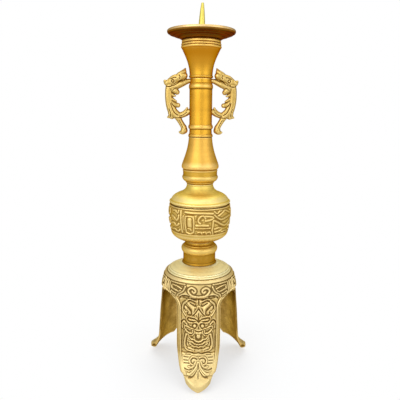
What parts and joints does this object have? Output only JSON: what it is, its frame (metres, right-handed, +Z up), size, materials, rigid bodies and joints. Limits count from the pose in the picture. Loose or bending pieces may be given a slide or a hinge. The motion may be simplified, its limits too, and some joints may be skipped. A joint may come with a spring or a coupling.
{
  "type": "pricket candlestick",
  "caption": "Tall brass pricket candlestick with a three-legged bell base, a turned column with a carved drum, a pair of dragon handles and a loose drip pan under the spike",
  "frame": {"origin": "on the axis of the column, at floor level under the three toes", "axes": "+Z up along the column to the tip of the pricket, -Y towards the leg that faces the viewer, +X towards the right handle"},
  "size_m": [0.122, 0.111, 0.406],
  "materials": {
    "cast_gold": "cast, chiselled and polished on the raised parts",
    "turned_gold": "turned, with fine lathe lines",
    "pale_brass": "polished",
    "iron": "plain"
  },
  "bodies": {
    "stand": {"tripod_base": "cast_gold", "base_collar": "turned_gold", "drum": "cast_gold", "drum_cap": "turned_gold", "stem_collar": "turned_gold", "lower_stem": "turned_gold", "neck": "turned_gold", "trumpet": "turned_gold", "left_handle": "cast_gold", "right_handle": "cast_gold", "foot_nut": "iron", "foot_washer": "iron", "tie_rod": "iron", "bridge_washer": "iron", "top_nut": "iron", "pricket": "pale_brass"},
    "pan": {"drip_pan": "turned_gold"}
  },
  "joints": [
    {"name": "pan_lift", "type": "slide", "parent": "stand", "child": "pan", "axis": [0, 0, 1], "range_m": [0, 0.04]}
  ]
}
